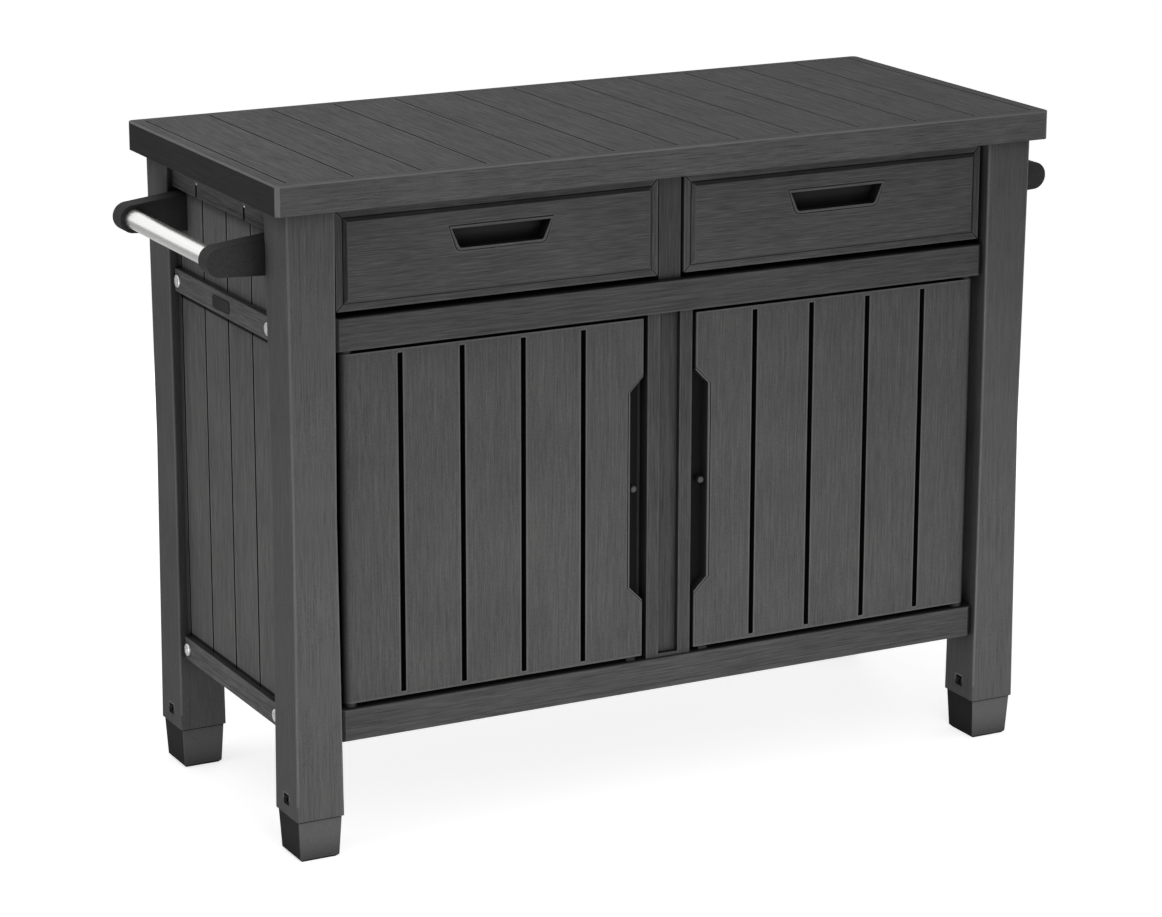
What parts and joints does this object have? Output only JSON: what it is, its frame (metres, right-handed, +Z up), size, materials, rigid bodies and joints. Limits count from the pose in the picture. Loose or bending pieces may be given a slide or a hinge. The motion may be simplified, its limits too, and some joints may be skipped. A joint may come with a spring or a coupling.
{
  "type": "outdoor buffet cabinet",
  "caption": "Moulded resin outdoor buffet cabinet with a boarded worktop, drawers over hinged doors, waisted legs and a towel bar at each end.",
  "frame": {"origin": "on the floor under the middle of the worktop", "axes": "+X to the right along the worktop, +Y from the doors to the back, +Z up"},
  "size_m": [1.3546, 0.543, 0.968],
  "materials": {
    "grain_resin": "satin with a fine brushed wood grain",
    "inner_resin": "smooth matt",
    "foot_resin": "finely stippled matt",
    "brushed_steel": "brushed along the bar",
    "screw_steel": "zinc plated"
  },
  "bodies": {
    "cabinet": {"back_panel": "grain_resin", "centre_stile": "grain_resin", "door_catches": "inner_resin", "drawer_divider": "grain_resin", "floor_panel": "grain_resin", "front_bottom_rail": "grain_resin", "front_foot_left": "foot_resin", "front_foot_right": "foot_resin", "front_handle_arm_left": "grain_resin", "front_handle_arm_right": "grain_resin", "front_leg_left": "grain_resin", "front_leg_right": "grain_resin", "front_mid_rail": "grain_resin", "handle_screws": "screw_steel", "handle_tube_left": "brushed_steel", "handle_tube_right": "brushed_steel", "inner_runner_left": "inner_resin", "inner_runner_right": "inner_resin", "outer_runner_left": "inner_resin", "outer_runner_right": "inner_resin", "rail_bolts": "screw_steel", "rear_bottom_rail": "grain_resin", "rear_foot_left": "foot_resin", "rear_foot_right": "foot_resin", "rear_handle_arm_left": "grain_resin", "rear_handle_arm_right": "grain_resin", "rear_leg_left": "grain_resin", "rear_leg_right": "grain_resin", "rear_upper_rail": "grain_resin", "shelf": "grain_resin", "shelf_cleat_left": "inner_resin", "shelf_cleat_right": "inner_resin", "side_lower_rail_left": "grain_resin", "side_lower_rail_right": "grain_resin", "side_mid_rail_left": "grain_resin", "side_mid_rail_right": "grain_resin", "side_panel_left": "grain_resin", "side_panel_right": "grain_resin", "side_upper_rail_left": "grain_resin", "side_upper_rail_right": "grain_resin", "sleeve_nuts": "screw_steel", "table_top": "grain_resin", "top_screws": "screw_steel"},
    "left_door": {"door_moulding_left": "grain_resin", "door_cover_left": "inner_resin", "door_peg_left": "inner_resin", "door_pins_left": "inner_resin"},
    "left_drawer": {"drawer_front_left": "grain_resin", "drawer_box_left": "inner_resin", "drawer_screws_left": "screw_steel"},
    "right_door": {"door_moulding_right": "grain_resin", "door_cover_right": "inner_resin", "door_peg_right": "inner_resin", "door_pins_right": "inner_resin"},
    "right_drawer": {"drawer_front_right": "grain_resin", "drawer_box_right": "inner_resin", "drawer_screws_right": "screw_steel"}
  },
  "joints": [
    {"name": "left_door_hinge", "type": "hinge", "parent": "cabinet", "child": "left_door", "pos_m": [-0.5012, -0.2288, 0.4695], "axis": [0, 0, -1], "range_deg": [0, 105]},
    {"name": "right_door_hinge", "type": "hinge", "parent": "cabinet", "child": "right_door", "pos_m": [0.5012, -0.2288, 0.4695], "axis": [0, 0, 1], "range_deg": [0, 105]},
    {"name": "left_drawer_slide", "type": "slide", "parent": "cabinet", "child": "left_drawer", "axis": [0, -1, 0], "range_m": [0, 0.3]},
    {"name": "right_drawer_slide", "type": "slide", "parent": "cabinet", "child": "right_drawer", "axis": [0, -1, 0], "range_m": [0, 0.3]}
  ]
}
